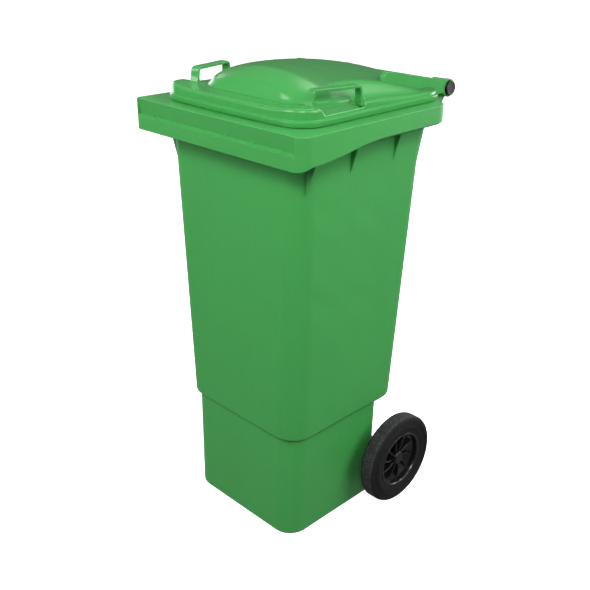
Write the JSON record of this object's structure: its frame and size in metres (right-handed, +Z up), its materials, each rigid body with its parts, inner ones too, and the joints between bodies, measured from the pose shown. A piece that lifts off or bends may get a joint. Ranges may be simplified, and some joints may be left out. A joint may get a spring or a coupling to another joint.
{
  "type": "wheelie bin",
  "caption": "Two-wheeled wheelie bin with a tapered tub on a narrower foot, a comb rim, a domed lid with loop handles on rear hinge pins, and spoked rubber-tyred wheels.",
  "frame": {"origin": "on the ground, under the middle of the whole object's box", "axes": "+X to the right seen from the front, +Y from the comb at the front to the hinge at the rear, +Z up"},
  "size_m": [0.4514, 0.524, 0.9403],
  "materials": {
    "green_plastic": "satin injection-moulded polyethylene",
    "green_plastic_lid": "semi-gloss injection-moulded polyethylene",
    "rubber": "soft black rubber",
    "steel": "zinc-plated steel",
    "black_plastic": "glossy black plastic",
    "cap_plastic": "satin black plastic",
    "rim_plastic": "semi-gloss black polypropylene",
    "tyre_rubber": "speckled solid rubber"
  },
  "bodies": {
    "bin": {"bin_body": "green_plastic", "hinge_pin_left": "black_plastic", "hinge_pin_right": "black_plastic"},
    "lid": {"lid": "green_plastic_lid", "lid_buffers": "rubber"},
    "axle": {"axle": "steel", "axle_spacer_left": "cap_plastic", "axle_spacer_right": "cap_plastic"},
    "wheel_left": {"tyre_left": "tyre_rubber", "wheel_rim_left": "rim_plastic", "hub_cap_left": "cap_plastic", "catch_spring_left": "steel"},
    "catch_left": {"wheel_catch_left": "black_plastic"},
    "wheel_right": {"tyre_right": "tyre_rubber", "wheel_rim_right": "rim_plastic", "hub_cap_right": "cap_plastic", "catch_spring_right": "steel"},
    "catch_right": {"wheel_catch_right": "black_plastic"}
  },
  "joints": [
    {"name": "lid_hinge", "type": "hinge", "parent": "bin", "child": "lid", "pos_m": [0, 0.244, 0.8725], "axis": [-1, 0, 0], "range_deg": [0, 270]},
    {"name": "axle_spin", "type": "hinge", "parent": "bin", "child": "axle", "pos_m": [0, 0.065, 0.1], "axis": [1, 0, 0], "continuous": true},
    {"name": "wheel_spin_left", "type": "hinge", "parent": "axle", "child": "wheel_left", "pos_m": [0, 0.065, 0.1], "axis": [1, 0, 0], "continuous": true},
    {"name": "catch_slide_left", "type": "slide", "parent": "wheel_left", "child": "catch_left", "axis": [0, 0, 1], "range_m": [0, 0.0024], "stiffness_N_per_m": 400, "springref_m": -0.004, "deforming": ["catch_spring_left"]},
    {"name": "wheel_spin_right", "type": "hinge", "parent": "axle", "child": "wheel_right", "pos_m": [0, 0.065, 0.1], "axis": [1, 0, 0], "continuous": true},
    {"name": "catch_slide_right", "type": "slide", "parent": "wheel_right", "child": "catch_right", "axis": [0, 0, 1], "range_m": [0, 0.0024], "stiffness_N_per_m": 400, "springref_m": -0.004, "deforming": ["catch_spring_right"]}
  ]
}
